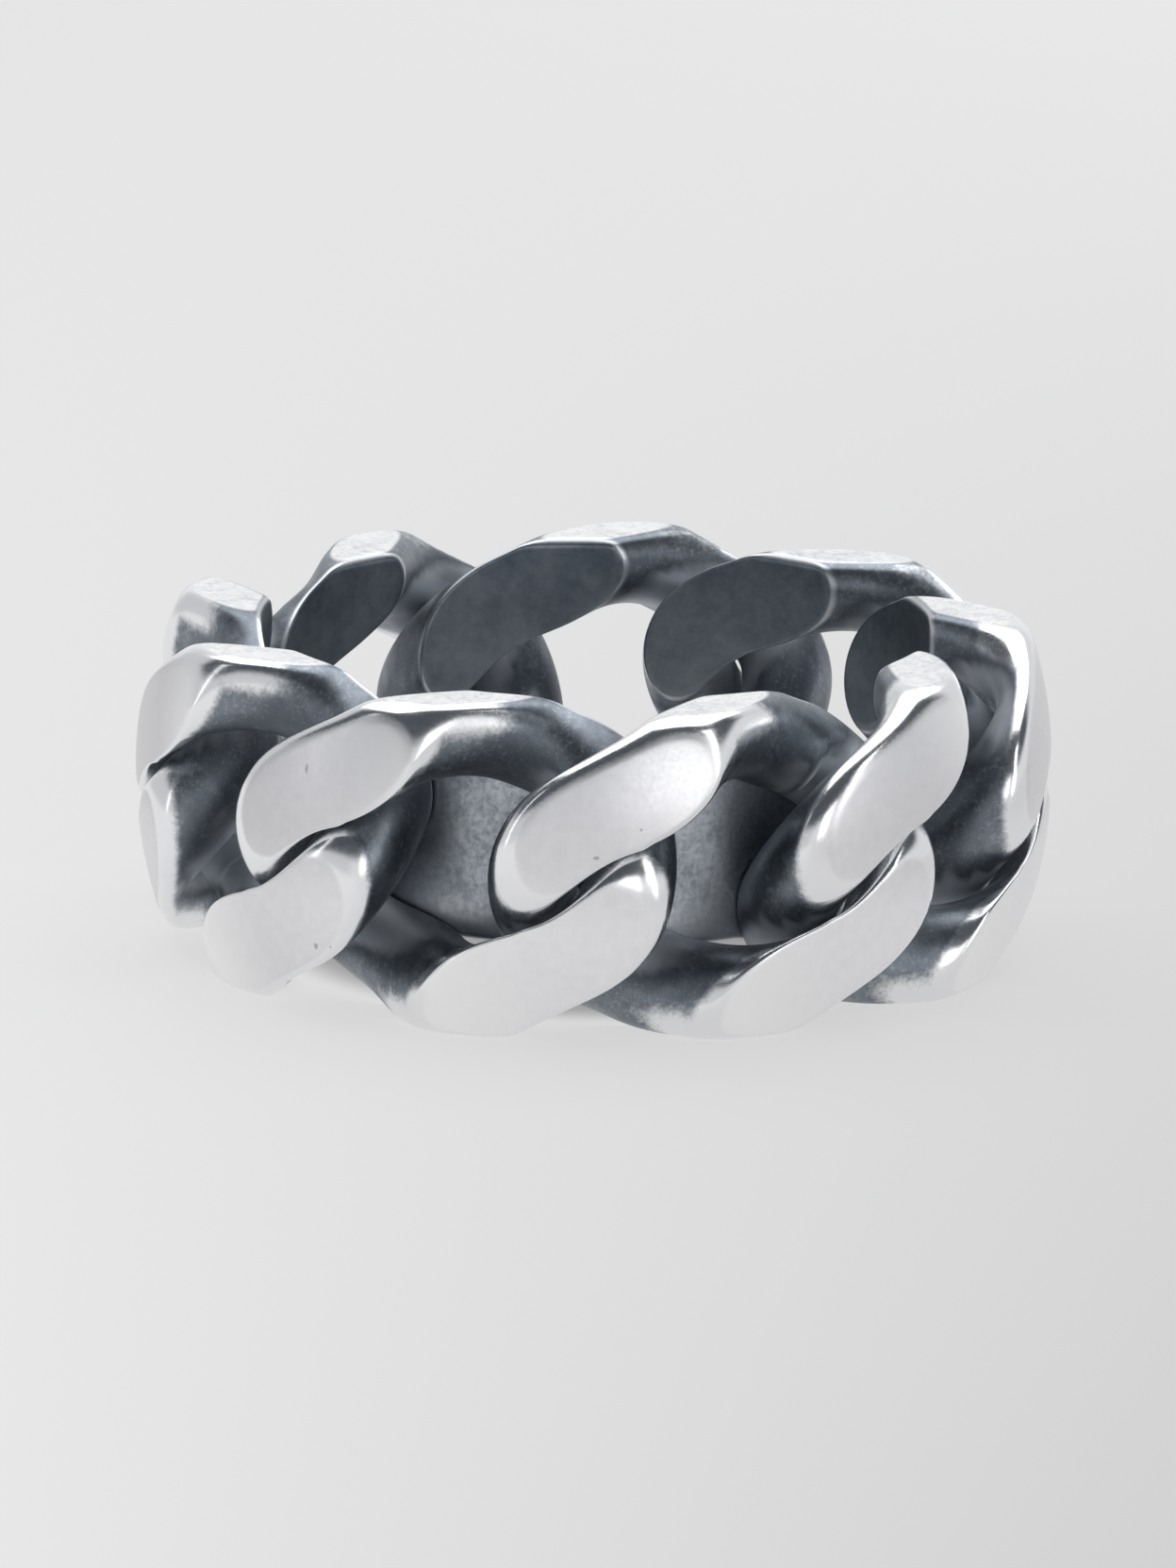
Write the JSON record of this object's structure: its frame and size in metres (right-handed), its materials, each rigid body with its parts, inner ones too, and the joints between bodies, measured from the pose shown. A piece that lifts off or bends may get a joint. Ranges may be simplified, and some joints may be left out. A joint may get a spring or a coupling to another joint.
{
  "type": "curb chain ring",
  "caption": "Finger ring made of heavy curb chain links closed into a loop, filed to a shallow dome outside and flat inside, with a small curved plate inside the front.",
  "frame": {"origin": "on the ring's axis, on the surface that the ring rests on", "axes": "+Z along the ring's axis, up as it lies on its side; -Y towards the front, where the plate is"},
  "size_m": [0.026, 0.0259, 0.0095],
  "materials": {
    "links": "satin silver on the filed flats, blackened in the recesses",
    "plate": "scuffed, darkened silver"
  },
  "bodies": {
    "root": {"link_1": "links", "link_2": "links", "link_3": "links", "link_4": "links", "link_5": "links", "link_6": "links", "link_7": "links", "link_8": "links", "link_9": "links", "inner_plate": "plate"}
  },
  "joints": []
}
